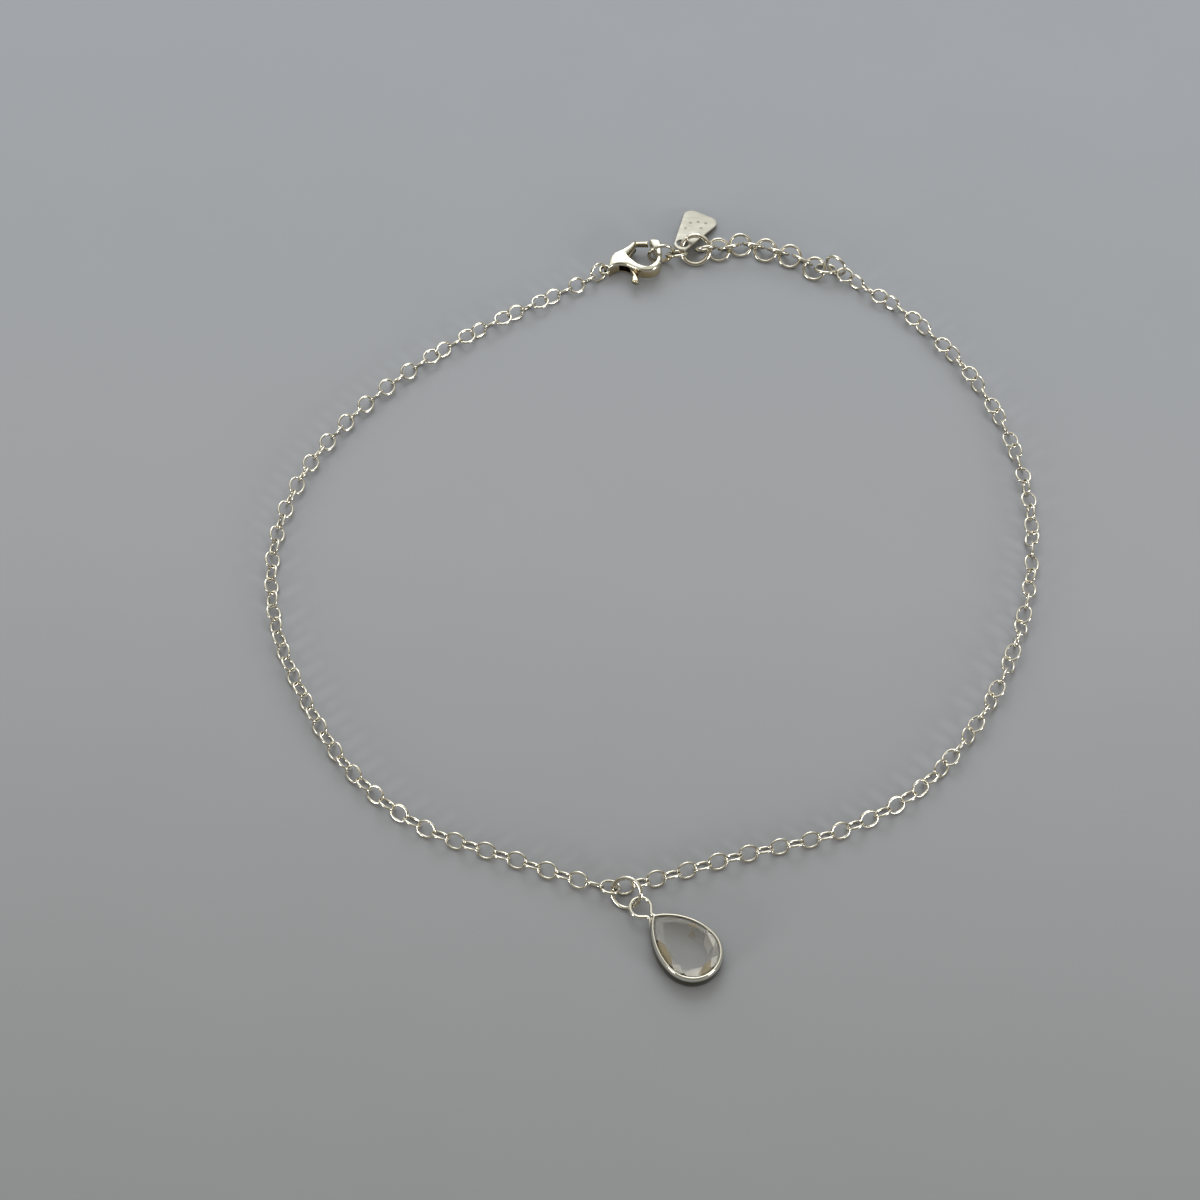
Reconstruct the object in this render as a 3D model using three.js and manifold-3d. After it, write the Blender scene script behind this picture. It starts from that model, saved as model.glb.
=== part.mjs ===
// A silver cable-chain anklet with a pear-shaped crystal drop, lying on a flat surface.
// Lengths are millimetres and +Z is up. The surface is z = 0 and the loop is centred on X and Y.

import * as THREE from 'three';
import { mergeVertices } from 'three/addons/utils/BufferGeometryUtils.js';
import Module from 'manifold-3d';

const wasm = await Module();
wasm.setup();

// Main chain
const LINK_COUNT = 137;
const LINKS_BEFORE_DROP = 69;        // the drop's ring hangs on the last of these
const LINK_PITCH = 1.695;            // from one link's centre to the next
const LINK_WIDTH = 1.9;
const LINK_WIRE = 0.25;
const DROP_LINK_GAP = 0.19;          // opens the joint between the two lengths of chain

// Extension chain
const EXTENSION_RING = 2.95;         // outer diameter
const EXTENSION_WIRE = 0.36;
const HELD_RING = 3.4;               // the ring in the claw, outer diameter
const HELD_WIRE = 0.38;

// Ring that carries the tag, and the tag
const TAG_RING = 4.0;
const TAG_RING_WIRE = 0.55;
const TAG_LENGTH = 7.9;
const TAG_WIDTH = 4.3;
const TAG_THICKNESS = 0.3;
const TAG_HOLE = 1.4;
const TAG_HOLE_TO_TIP = 1.2;
const TAG_CORNER = 1.15;             // radius of the two corners at the wide end
const TAG_TIP = 0.95;                // radius of the narrow end

// Clasp
const CLASP_LENGTH = 7.0;
const CLASP_WIDTH = 4.6;
const CLASP_THICKNESS = 1.8;
const CLASP_EDGE = 0.15;             // the rounded edge of the body
const CLASP_TAB = 1.46;              // outer diameter of the eye at the tail
const CLASP_EYE = 0.88;              // hole in that eye
const CLASP_TAB_THICKNESS = 0.45;
const CLASP_RING = 2.4;              // outer diameter of the ring at the tail
const CLASP_RING_WIRE = 0.3;
const LEVER_THICKNESS = 0.7;
const LEVER_CLEARANCE = 0.15;        // on each side of the lever in its slot
const LEVER_BAR = 0.45;              // width of the gate bar
const LEVER_NUB = 0.95;              // diameter of the thumb piece

// Drop
const STONE_LENGTH = 8.3;
const STONE_WIDTH = 5.9;
const STONE_HEIGHT = 1.9;
const STONE_GAP = 0.08;              // between the girdle and the band
const BEZEL_WALL = 0.22;
const BEZEL_HEIGHT = 1.9;
const BEZEL_SEAT = 0.3;              // depth of the ledge that the stone sits on
const DROP_LOOP = 2.5;               // outer diameter of the soldered loop
const DROP_LOOP_WIRE = 0.34;
const DROP_RING = 3.5;               // outer diameter of the jump ring
const DROP_RING_WIRE = 0.36;

// Sides of the round wire and of a ring
const WIRE_SIDES = 5;
const RING_SIDES = 10;

// Where the chain runs, from the clasp round by the drop to the extension, in millimetres
const ROUTE = [
  [-8.8, 36.5], [-12.4, 34.0], [-20.9, 28.5], [-28.7, 22.2], [-35.5, 14.7], [-40.6, 6.0],
  [-42.8, -3.8], [-41.5, -13.8], [-37.2, -22.9], [-31.4, -31.1], [-23.3, -37.1], [-13.7, -40.1],
  [-8.8, -41.5], [-3.6, -42.75], [1.1, -41.6], [10.6, -38.2], [20.3, -35.1], [28.8, -29.9],
  [35.2, -22.1], [39.7, -13.1], [42.3, -3.3], [42.8, 6.8], [40.8, 16.6], [36.3, 25.6],
  [29.7, 33.2], [25.6, 36.2], [20.9, 39.5],
];

// How far each link is rolled past the one before it, in degrees. A quarter turn is a chain
// that lies relaxed, more or less than that a stretch with some twist in it.
const FIRST_ROLL = 120;
const ROLLS = [
  { from: 1, step: 90 },
  { from: 3, step: 120 },
  { from: 15, step: 90 },
  { from: 28, step: 91.2 },
  { from: 42, step: 90 },
  { from: 67, step: 120 },
  { from: 70, step: 90 },
  { from: 92, step: 61 },
  { from: 107, step: 93 },
  { from: 109, step: 121 },
  { from: 112, step: 93 },
  { from: 116, step: 121 },
];

// Rings of the extension from the chain to the tag's ring, each lying on the surface.
// heading is the way its level axis points and lean how far it stands up, in degrees.
const EXTENSION = [
  { x: 20.47, y: 39.76, heading: 145, lean: -85 },
  { x: 19.28, y: 39.67, heading: 180, lean: 30 },
  { x: 17.9, y: 39.5, heading: 160, lean: -35 },
  { x: 16.4, y: 40.5, heading: 150, lean: 55 },
  { x: 14.9, y: 41.2, heading: 170, lean: -35 },
  { x: 13.4, y: 41.6, heading: 165, lean: 55 },
  { x: 11.9, y: 41.9, heading: 170, lean: -35 },
  { x: 10.4, y: 42.3, heading: 169, lean: 56 },
  { x: 8.8, y: 42.5, heading: 185, lean: -35 },
  { x: 7.45, y: 41.9, heading: 200, lean: 55 },
  { x: 6.15, y: 41.6, heading: 183.5, lean: -35 },
  { x: 4.55, y: 41.4, heading: 193, lean: 60 },
];
const TAG_RING_PLACE = { x: 3.3, y: 41.1, heading: 0, lean: 38 };
const NEXT_RING_PLACE = { x: 1.07, y: 40.56, heading: 196, lean: 40.5 };
const HELD_RING_PLACE = { x: -0.85, y: 39.88, heading: 11, lean: 90 };
const TAG_ON_RING = 160;             // where round its ring the tag hangs, degrees
const TAG_HEADING = 67;

// Where the clasp lies, and how far its nose is lifted by the ring under the claw
const CLASP_PLACE = { x: -7.3, y: 38.3, heading: 11, lift: 5 };

// The ring between the clasp's eye and the first link
const CLASP_RING_PLACE = { x: -8.35, y: 37.01, heading: 43, lean: 65 };

// Where the drop lies: the tip of the pear and the way it points
const DROP_PLACE = { x: 1.08, y: -45.85, heading: -41.5 };
const DROP_RING_PLACE = { x: -1.61, y: -43.37, heading: -30.5, lean: 38 };

// Outline of the clasp's body and claw, as shares of the clasp's length and width.
// It starts under the tail and goes round by the claw to its tip and back inside.
const CLASP_OUTLINE = [
  { along: 0.000, across: -0.235 },
  { along: 0.090, across: -0.180 },
  { along: 0.190, across: -0.150 },
  { along: 0.320, across: -0.215 },
  { along: 0.410, across: -0.325 },
  { along: 0.540, across: -0.450 },
  { along: 0.660, across: -0.510 },
  { along: 0.760, across: -0.510 },
  { along: 0.860, across: -0.430 },
  { along: 0.910, across: -0.330 },
  { along: 0.955, across: -0.140 },
  { along: 0.990, across: 0.300 },
  { along: 0.965, across: 0.440 },
  { along: 0.920, across: 0.480 },
  { along: 0.810, across: 0.500 },
  { along: 0.800, across: 0.420 },
  { along: 0.820, across: 0.270 },
  { along: 0.865, across: 0.120 },
  { along: 0.860, across: -0.130 },
  { along: 0.810, across: -0.250 },
  { along: 0.690, across: -0.340 },
  { along: 0.555, across: -0.240 },
  { along: 0.470, across: -0.090 },
  { along: 0.385, across: 0.125 },
  { along: 0.420, across: 0.200 },
  { along: 0.500, across: 0.310 },
  { along: 0.560, across: 0.440 },
  { along: 0.520, across: 0.520 },
  { along: 0.430, across: 0.420 },
  { along: 0.300, across: 0.325 },
  { along: 0.155, across: 0.240 },
  { along: 0.060, across: 0.060 },
];
const LEVER_PIVOT = { along: 0.47, across: 0.36 };
const LEVER_NUB_AT = { along: 0.43, across: -0.68 };
const LEVER_SHOULDER = { along: 0.565, across: 0.53 };
const LEVER_GATE_END = { along: 0.77, across: 0.478 };

// Small helpers

const degrees = THREE.MathUtils.degToRad;

function metal(name, geometry, color = 0xd8d6cc, roughness = 0.18) {
  const material = new THREE.MeshStandardMaterial({ color, roughness, metalness: 1 });
  const mesh = new THREE.Mesh(geometry, material);
  mesh.name = name;
  return mesh;
}

function solidFrom(geometry) {
  const bare = geometry.clone();
  bare.deleteAttribute('normal');
  bare.deleteAttribute('uv');
  const merged = mergeVertices(bare, 1e-5);
  return new wasm.Manifold(new wasm.Mesh({
    numProp: 3,
    vertProperties: Float32Array.from(merged.attributes.position.array),
    triVerts: Uint32Array.from(merged.index.array),
  }));
}

function geometryFrom(solid) {
  const mesh = solid.getMesh();
  const geometry = new THREE.BufferGeometry();
  geometry.setAttribute('position', new THREE.BufferAttribute(mesh.vertProperties, 3));
  geometry.setIndex(new THREE.BufferAttribute(mesh.triVerts, 1));
  geometry.computeVertexNormals();
  return geometry;
}

function plate(outline, thickness, edge = 0) {
  const shape = new THREE.Shape(outline.map((point) => new THREE.Vector2(point.x, point.y)));
  const geometry = new THREE.ExtrudeGeometry(shape, {
    depth: thickness - 2 * edge,
    bevelEnabled: edge > 0,
    bevelThickness: edge,
    bevelSize: edge,
    bevelOffset: -edge,
    bevelSegments: 1,
  });
  geometry.translate(0, 0, edge);
  return geometry;
}

// A closed ring of round wire in its own XY plane
function ringGeometry(outer, wire) {
  return new THREE.TorusGeometry((outer - wire) / 2, wire / 2, WIRE_SIDES, RING_SIDES);
}

// The axes of a ring whose level axis has a heading and which stands up by a lean
function ringAxes(place) {
  const level = new THREE.Vector3(Math.cos(degrees(place.heading)), Math.sin(degrees(place.heading)), 0);
  const side = new THREE.Vector3(-level.y, level.x, 0).multiplyScalar(Math.cos(degrees(place.lean)));
  side.z = Math.sin(degrees(place.lean));
  return { level, side, normal: level.clone().cross(side) };
}

// A ring that rests on the surface, or on another height where one is given
function ring(name, outer, wire, place) {
  const { level, side, normal } = ringAxes(place);
  const mesh = metal(name, ringGeometry(outer, wire));
  mesh.quaternion.setFromRotationMatrix(new THREE.Matrix4().makeBasis(level, side, normal));
  mesh.position.set(place.x, place.y, ringHeight(outer, wire, place));
  return mesh;
}

function ringHeight(outer, wire, place) {
  return (outer - wire) / 2 * Math.abs(Math.sin(degrees(place.lean))) + wire / 2;
}

// Main chain

function linkRolls() {
  const rolls = [FIRST_ROLL];
  for (let link = 1; link < LINK_COUNT; link += 1) {
    const row = ROLLS.findLast((candidate) => candidate.from <= link);
    rolls.push(rolls[link - 1] + row.step);
  }
  return rolls;
}

// Height that a link's middle needs so that the link lies on the surface
function linkHeight(roll) {
  return (LINK_WIDTH - LINK_WIRE) / 2 * Math.abs(Math.sin(degrees(roll))) + LINK_WIRE / 2;
}

// Points one pitch apart along the route, at the joints between links
function jointPlaces() {
  const points = ROUTE.map(([x, y]) => new THREE.Vector3(x, y, 0));
  const curve = new THREE.CatmullRomCurve3(points, false, 'catmullrom', 0.5);
  const trail = curve.getPoints((ROUTE.length - 1) * 60);
  const last = trail.at(-1);
  const beyond = last.clone().sub(trail.at(-2)).setLength(LINK_COUNT * LINK_PITCH);
  trail.push(last.clone().add(beyond));
  const joints = [trail[0]];
  let next = 1;
  while (joints.length <= LINK_COUNT) {
    const from = joints.at(-1);
    while (trail[next].distanceTo(from) < LINK_PITCH) next += 1;
    let low = trail[next - 1];
    let high = trail[next];
    for (let halving = 0; halving < 30; halving += 1) {
      const middle = low.clone().lerp(high, 0.5);
      if (middle.distanceTo(from) < LINK_PITCH) low = middle;
      else high = middle;
    }
    joints.push(high.clone());
  }
  return joints;
}

function linkFrames() {
  const rolls = linkRolls();
  const joints = jointPlaces();
  joints.forEach((joint, index) => {
    const before = linkHeight(rolls[Math.max(index - 1, 0)]);
    const after = linkHeight(rolls[Math.min(index, LINK_COUNT - 1)]);
    joint.z = Math.max(before, after);
  });
  joints[0].z = joints[1].z;
  joints.at(-1).z = joints.at(-2).z;
  return rolls.map((roll, link) => {
    const along = joints[link + 1].clone().sub(joints[link]).normalize();
    const flatSide = new THREE.Vector3(-along.y, along.x, 0).normalize();
    const upright = along.clone().cross(flatSide);
    const normal = upright.multiplyScalar(Math.cos(degrees(roll)));
    normal.addScaledVector(flatSide, Math.sin(degrees(roll)));
    return {
      centre: joints[link].clone().add(joints[link + 1]).multiplyScalar(0.5),
      along,
      side: normal.clone().cross(along),
      normal,
    };
  });
}

// The wire's section has five corners, a flat one facing into the link
const WIRE_FLAT = LINK_WIRE * Math.sin(Math.PI / WIRE_SIDES);
const WIRE_SECTION = [
  { depth: 0, side: WIRE_FLAT / 2 },
  { depth: LINK_WIRE / 2 * (Math.cos(degrees(36)) + Math.cos(degrees(72))), side: LINK_WIRE / 2 * Math.sin(degrees(108)) },
  { depth: LINK_WIRE / 2 * (Math.cos(degrees(36)) + 1), side: 0 },
  { depth: LINK_WIRE / 2 * (Math.cos(degrees(36)) + Math.cos(degrees(72))), side: -LINK_WIRE / 2 * Math.sin(degrees(108)) },
  { depth: 0, side: -WIRE_FLAT / 2 },
];

// The inner line of a link: a short flat at each tip and an oval between them
function linkStations(halfLength) {
  const halfWidth = LINK_WIDTH / 2 - WIRE_SECTION[2].depth;
  const stations = [];
  for (const end of [1, -1]) {
    stations.push(new THREE.Vector2(end * halfLength, -end * WIRE_FLAT / 2));
    stations.push(new THREE.Vector2(end * halfLength, end * WIRE_FLAT / 2));
    for (const angle of [45, 90, 135]) {
      stations.push(new THREE.Vector2(
        end * halfLength * Math.cos(degrees(angle)),
        end * halfWidth * Math.sin(degrees(angle)),
      ));
    }
  }
  return stations;
}

// Outward direction at a station, long enough to keep the wire's thickness round the corner
function mitre(stations, index) {
  const here = stations[index];
  const before = here.clone().sub(stations.at(index - 1)).normalize();
  const after = stations[(index + 1) % stations.length].clone().sub(here).normalize();
  const outward = new THREE.Vector2(before.y + after.y, -before.x - after.x).normalize();
  return outward.divideScalar(outward.dot(new THREE.Vector2(after.y, -after.x)));
}

function linkCorners(frame) {
  const stations = linkStations(LINK_PITCH / 2);
  const corners = [];
  stations.forEach((station, index) => {
    const outward = mitre(stations, index);
    for (const { depth, side } of WIRE_SECTION) {
      const corner = frame.centre.clone();
      corner.addScaledVector(frame.along, station.x + outward.x * depth);
      corner.addScaledVector(frame.side, station.y + outward.y * depth);
      corner.addScaledVector(frame.normal, side);
      corners.push(corner);
    }
  });
  return corners;
}

// Corners of the small flat at a tip, where two links are fused. Both are in order round the
// flat, the back one turned the other way, because two neighbours face each other there.
const FRONT_FLAT = [0, 4, 9, 5];
const BACK_FLAT = [25, 29, 34, 30];

// The corners of the back flat in the order that meets the front flat most closely
function meetingCorners(corners, fronts) {
  const orders = [0, 1, 2, 3].map((turn) => FRONT_FLAT.map((front, step) => BACK_FLAT[(turn + 4 - step) % 4]));
  const misses = orders.map((order) => (
    order.reduce((sum, back, step) => sum + corners[back].distanceTo(fronts[step]), 0)));
  return orders[misses.indexOf(Math.min(...misses))];
}

// One length of chain as a single closed surface: neighbouring links share the flat at their tips
function chainGeometry(frames) {
  const places = [];
  const faces = [];
  let previous = null;
  frames.forEach((frame, link) => {
    const corners = linkCorners(frame);
    const numbers = corners.map((corner) => places.push(corner) - 1);
    if (previous) {
      const shared = FRONT_FLAT.map((front) => places[previous[front]]);
      meetingCorners(corners, shared).forEach((back, step) => {
        numbers[back] = previous[FRONT_FLAT[step]];
        shared[step].lerp(corners[back], 0.5);
      });
    }
    const openBack = link > 0;
    const openFront = link < frames.length - 1;
    for (let station = 0; station < RING_SIDES; station += 1) {
      for (let corner = 0; corner < WIRE_SIDES; corner += 1) {
        const inner = corner === WIRE_SIDES - 1;
        if (inner && ((station === 0 && openFront) || (station === 5 && openBack))) continue;
        const nextStation = (station + 1) % RING_SIDES;
        const nextCorner = (corner + 1) % WIRE_SIDES;
        const a = numbers[station * WIRE_SIDES + corner];
        const b = numbers[station * WIRE_SIDES + nextCorner];
        const c = numbers[nextStation * WIRE_SIDES + nextCorner];
        const d = numbers[nextStation * WIRE_SIDES + corner];
        faces.push(a, b, c, a, c, d);
      }
    }
    previous = numbers;
  });
  return indexedGeometry(places, faces);
}

// Keeps only the places that a face uses
function indexedGeometry(places, faces) {
  const kept = new Map();
  const positions = [];
  const index = faces.map((place) => {
    if (!kept.has(place)) {
      kept.set(place, kept.size);
      positions.push(...places[place].toArray());
    }
    return kept.get(place);
  });
  const geometry = new THREE.BufferGeometry();
  geometry.setAttribute('position', new THREE.Float32BufferAttribute(positions, 3));
  geometry.setIndex(index);
  geometry.computeVertexNormals();
  return geometry;
}

function mainChain() {
  const frames = linkFrames();
  const left = frames.slice(0, LINKS_BEFORE_DROP);
  const right = frames.slice(LINKS_BEFORE_DROP);
  for (const frame of right) frame.centre.addScaledVector(right[0].along, -DROP_LINK_GAP);
  return [
    metal('chain_left', chainGeometry(left)),
    metal('chain_right', chainGeometry(right)),
  ];
}

// Extension chain, the tag's ring and the ring in the claw

function extensionChain() {
  const rings = EXTENSION.map((place) => [EXTENSION_RING, EXTENSION_WIRE, place]);
  rings.push([EXTENSION_RING, EXTENSION_WIRE, NEXT_RING_PLACE]);
  rings.push([HELD_RING, HELD_WIRE, HELD_RING_PLACE]);
  return rings.map(([outer, wire, place], index) => ring(`extension_link_${index + 1}`, outer, wire, place));
}

// A rounded drop with a flattened wide end: two corners and a narrow tip with straight sides
function tagOutline() {
  const cornerAcross = TAG_WIDTH / 2 - TAG_CORNER;
  const cornerAlong = TAG_LENGTH - TAG_HOLE_TO_TIP - TAG_CORNER;
  const tipAlong = TAG_TIP - TAG_HOLE_TO_TIP;
  const reach = new THREE.Vector2(cornerAlong - tipAlong, cornerAcross);
  const turn = reach.angle() + Math.acos((TAG_TIP - TAG_CORNER) / reach.length());
  const shape = new THREE.Shape();
  shape.absarc(cornerAlong, -cornerAcross, TAG_CORNER, -turn, 0);
  shape.absarc(cornerAlong, cornerAcross, TAG_CORNER, 0, turn);
  shape.absarc(tipAlong, 0, TAG_TIP, turn, Math.PI * 2 - turn);
  shape.holes.push(new THREE.Path().absarc(0, 0, TAG_HOLE / 2, 0, Math.PI * 2, true));
  return shape;
}

// The tag hangs on its ring by its hole and its wide end lies on the surface
function tag() {
  const { level, side } = ringAxes(TAG_RING_PLACE);
  const radius = (TAG_RING - TAG_RING_WIRE) / 2;
  const hole = new THREE.Vector3(TAG_RING_PLACE.x, TAG_RING_PLACE.y, ringHeight(TAG_RING, TAG_RING_WIRE, TAG_RING_PLACE));
  hole.addScaledVector(level, radius * Math.cos(degrees(TAG_ON_RING)));
  hole.addScaledVector(side, radius * Math.sin(degrees(TAG_ON_RING)));
  const drop = Math.asin((hole.z - TAG_THICKNESS / 2) / (TAG_LENGTH - TAG_HOLE_TO_TIP));
  const geometry = new THREE.ExtrudeGeometry(tagOutline(), {
    depth: TAG_THICKNESS,
    bevelEnabled: false,
    curveSegments: 4,
  });
  geometry.translate(0, 0, -TAG_THICKNESS / 2);
  const mesh = metal('tag', geometry, 0xdedcd2, 0.25);
  mesh.position.copy(hole);
  mesh.rotation.set(0, drop, degrees(TAG_HEADING), 'ZYX');
  return mesh;
}

// Clasp

function onClasp(point) {
  return new THREE.Vector3(point.along * CLASP_LENGTH, point.across * CLASP_WIDTH, 0);
}

const TAB_CENTRE = new THREE.Vector3(-0.35, -0.15 * CLASP_WIDTH, 0);

function eyeGeometry() {
  const shape = new THREE.Shape().absarc(TAB_CENTRE.x, TAB_CENTRE.y, CLASP_TAB / 2, 0, Math.PI * 2);
  shape.holes.push(new THREE.Path().absarc(TAB_CENTRE.x, TAB_CENTRE.y, CLASP_EYE / 2, 0, Math.PI * 2, true));
  const geometry = new THREE.ExtrudeGeometry(shape, {
    depth: CLASP_TAB_THICKNESS,
    bevelEnabled: false,
    curveSegments: 5,
  });
  geometry.translate(0, 0, (CLASP_THICKNESS - CLASP_TAB_THICKNESS) / 2);
  return geometry;
}

// The slot that the lever swings in, open to the claw and through the back
function slotGeometry() {
  const slot = LEVER_THICKNESS + 2 * LEVER_CLEARANCE;
  const outline = [
    { along: 0.20, across: -0.60 },
    { along: 0.54, across: -0.60 },
    { along: 0.54, across: 0.00 },
    { along: 0.60, across: 0.60 },
    { along: 0.40, across: 0.60 },
    { along: 0.28, across: 0.10 },
  ].map(onClasp);
  const geometry = plate(outline, slot);
  geometry.translate(0, 0, (CLASP_THICKNESS - slot) / 2);
  return geometry;
}

function claspBody() {
  const outline = CLASP_OUTLINE.map(onClasp);
  const body = solidFrom(plate(outline, CLASP_THICKNESS, CLASP_EDGE));
  const slotted = body.subtract(solidFrom(slotGeometry()));
  return metal('clasp_body', geometryFrom(slotted.add(solidFrom(eyeGeometry()))));
}

// The lever is a gate bar, bent at the shoulder, and a thumb arm on one pivot
function leverOutline() {
  const pivot = onClasp(LEVER_PIVOT);
  const nub = onClasp(LEVER_NUB_AT).sub(pivot);
  const shoulder = onClasp(LEVER_SHOULDER).sub(pivot);
  const gate = onClasp(LEVER_GATE_END).sub(pivot);
  const bar = LEVER_BAR / 2;
  const nubSide = new THREE.Vector3(-nub.y, nub.x, 0).setLength(LEVER_NUB / 2);
  const armSide = nubSide.clone().setLength(bar);
  const gateAlong = gate.clone().sub(shoulder).setLength(bar);
  const gateSide = new THREE.Vector3(-gateAlong.y, gateAlong.x, 0);
  const neck = nub.clone().setLength(nub.length() - LEVER_NUB);
  return [
    gate.clone().sub(gateSide),
    gate.clone().add(gateSide),
    shoulder.clone().add(gateSide).sub(gateAlong),
    new THREE.Vector3(-1.3 * bar, 0.9 * bar, 0),
    neck.clone().sub(armSide),
    nub.clone().sub(nubSide),
    nub.clone().setLength(nub.length() + LEVER_NUB / 3),
    nub.clone().add(nubSide),
    neck.clone().add(armSide),
    new THREE.Vector3(1.3 * bar, -0.9 * bar, 0),
    shoulder.clone().sub(gateSide).addScaledVector(gateAlong, 0.3),
  ];
}

function claspLever() {
  const outline = leverOutline().reverse();
  const geometry = plate(outline, LEVER_THICKNESS);
  geometry.translate(0, 0, (CLASP_THICKNESS - LEVER_THICKNESS) / 2);
  const mesh = metal('clasp_lever', geometry);
  mesh.position.copy(onClasp(LEVER_PIVOT));
  return mesh;
}

function clasp() {
  const group = new THREE.Group();
  group.add(claspBody(), claspLever());
  group.position.set(CLASP_PLACE.x, CLASP_PLACE.y, 0.01);
  group.rotation.set(0, -degrees(CLASP_PLACE.lift), degrees(CLASP_PLACE.heading), 'ZYX');
  return group;
}

// Drop

// Half width of the pear at a distance from its tip, with a round end and a pointed one
function pearHalfWidth(fromTip, length, width) {
  const radius = width / 2;
  const centre = length - radius;
  if (fromTip > centre) return radius * Math.sqrt(Math.max(0, 1 - ((fromTip - centre) / radius) ** 2));
  return radius * Math.max(0, 1 - ((centre - fromTip) / centre) ** 2) ** 0.8;
}

const PEAR_STEPS = [0, 0.05, 0.14, 0.28, 0.45, 0.64, 0.8, 0.91, 0.975, 1];

function pearOutline(length, width) {
  const upper = PEAR_STEPS.map((share) => (
    new THREE.Vector3(share * length, pearHalfWidth(share * length, length, width), 0)));
  const lower = upper.slice(1, -1).map((point) => new THREE.Vector3(point.x, -point.y, 0)).reverse();
  return [...upper, ...lower].reverse();
}

// The band round the stone, open at the back, with a ledge under the girdle
function bezelSolid() {
  const gap = STONE_GAP + BEZEL_WALL;
  const outside = plate(pearOutline(STONE_LENGTH + 2 * gap, STONE_WIDTH + 2 * gap), BEZEL_HEIGHT);
  const bore = plate(pearOutline(STONE_LENGTH + 2 * STONE_GAP, STONE_WIDTH + 2 * STONE_GAP), BEZEL_HEIGHT);
  bore.translate(BEZEL_WALL, 0, BEZEL_SEAT);
  const back = plate(pearOutline(STONE_LENGTH - 2 * BEZEL_SEAT, STONE_WIDTH - 2 * BEZEL_SEAT), 3 * BEZEL_HEIGHT);
  back.translate(gap + BEZEL_SEAT, 0, -BEZEL_HEIGHT);
  return solidFrom(outside).subtract(solidFrom(bore)).subtract(solidFrom(back));
}

const LOOP_CENTRE = new THREE.Vector3(-DROP_LOOP / 2 - 0.3, 0, BEZEL_HEIGHT / 2);

// The soldered loop and the short neck that joins it to the tip of the band
function loopSolid() {
  const loop = ringGeometry(DROP_LOOP, DROP_LOOP_WIRE);
  loop.translate(LOOP_CENTRE.x, LOOP_CENTRE.y, LOOP_CENTRE.z);
  const neckStart = LOOP_CENTRE.x + DROP_LOOP / 2 - DROP_LOOP_WIRE * 0.8;
  const neckEnd = BEZEL_WALL * 1.6;
  const neck = new THREE.BoxGeometry(neckEnd - neckStart, DROP_LOOP_WIRE * 2, DROP_LOOP_WIRE);
  neck.translate((neckStart + neckEnd) / 2, 0, LOOP_CENTRE.z);
  return solidFrom(loop).add(solidFrom(neck));
}

function pendantBezel() {
  return metal('pendant_bezel', geometryFrom(bezelSolid().add(loopSolid())));
}

// A cut stone: table, a ring of crown facets, girdle and a shallow pavilion
function stoneGeometry() {
  const girdle = pearOutline(STONE_LENGTH, STONE_WIDTH);
  const middle = new THREE.Vector3(STONE_LENGTH - STONE_WIDTH / 2, 0, 0);
  const rows = [
    { share: 0.55, height: 0 },
    { share: 0.86, height: 0.22 },
    { share: 1.0, height: 0.55 },
    { share: 1.0, height: 0.62 },
    { share: 0.74, height: 1.0 },
  ];
  const places = [];
  for (const row of rows) {
    for (const point of girdle) {
      const corner = middle.clone().lerp(point, row.share);
      places.push(corner.setZ(row.height * STONE_HEIGHT));
    }
  }
  return closedStack(places, rows.length, girdle.length);
}

// A closed solid from rows of corners, capped at the first and the last row
function closedStack(places, rowCount, sides) {
  const faces = [];
  for (let row = 0; row < rowCount - 1; row += 1) {
    for (let side = 0; side < sides; side += 1) {
      const next = (side + 1) % sides;
      const a = row * sides + side;
      const b = row * sides + next;
      faces.push(a, b, b + sides, a, b + sides, a + sides);
    }
  }
  const top = (rowCount - 1) * sides;
  for (let side = 1; side < sides - 1; side += 1) {
    faces.push(0, side + 1, side);
    faces.push(top, top + side, top + side + 1);
  }
  return indexedGeometry(places, faces);
}

function pendantStone() {
  const material = new THREE.MeshStandardMaterial({ color: 0xe9eef0, roughness: 0.03, metalness: 0 });
  const mesh = new THREE.Mesh(stoneGeometry(), material);
  mesh.name = 'pendant_stone';
  mesh.position.set(BEZEL_WALL + STONE_GAP, 0, BEZEL_SEAT + STONE_GAP);
  return mesh;
}

function drop() {
  const group = new THREE.Group();
  group.add(pendantBezel(), pendantStone());
  group.position.set(DROP_PLACE.x, DROP_PLACE.y, 0);
  group.rotation.z = degrees(DROP_PLACE.heading);
  return group;
}

// The whole anklet, centred over its bounding box

function anklet() {
  const laid = new THREE.Group();
  laid.add(...mainChain(), clasp(), ...extensionChain());
  laid.add(ring('clasp_ring', CLASP_RING, CLASP_RING_WIRE, CLASP_RING_PLACE));
  laid.add(ring('tag_ring', TAG_RING, TAG_RING_WIRE, TAG_RING_PLACE), tag());
  laid.add(ring('pendant_ring', DROP_RING, DROP_RING_WIRE, DROP_RING_PLACE), drop());
  laid.updateMatrixWorld(true);
  const box = new THREE.Box3().setFromObject(laid, true);
  const centre = box.getCenter(new THREE.Vector3());
  laid.position.set(-centre.x, -centre.y, -box.min.z);
  return new THREE.Group().add(laid);
}

export default anklet();
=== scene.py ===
import math

import bpy
import bmesh
import numpy as np
from mathutils import Matrix, Vector

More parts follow.
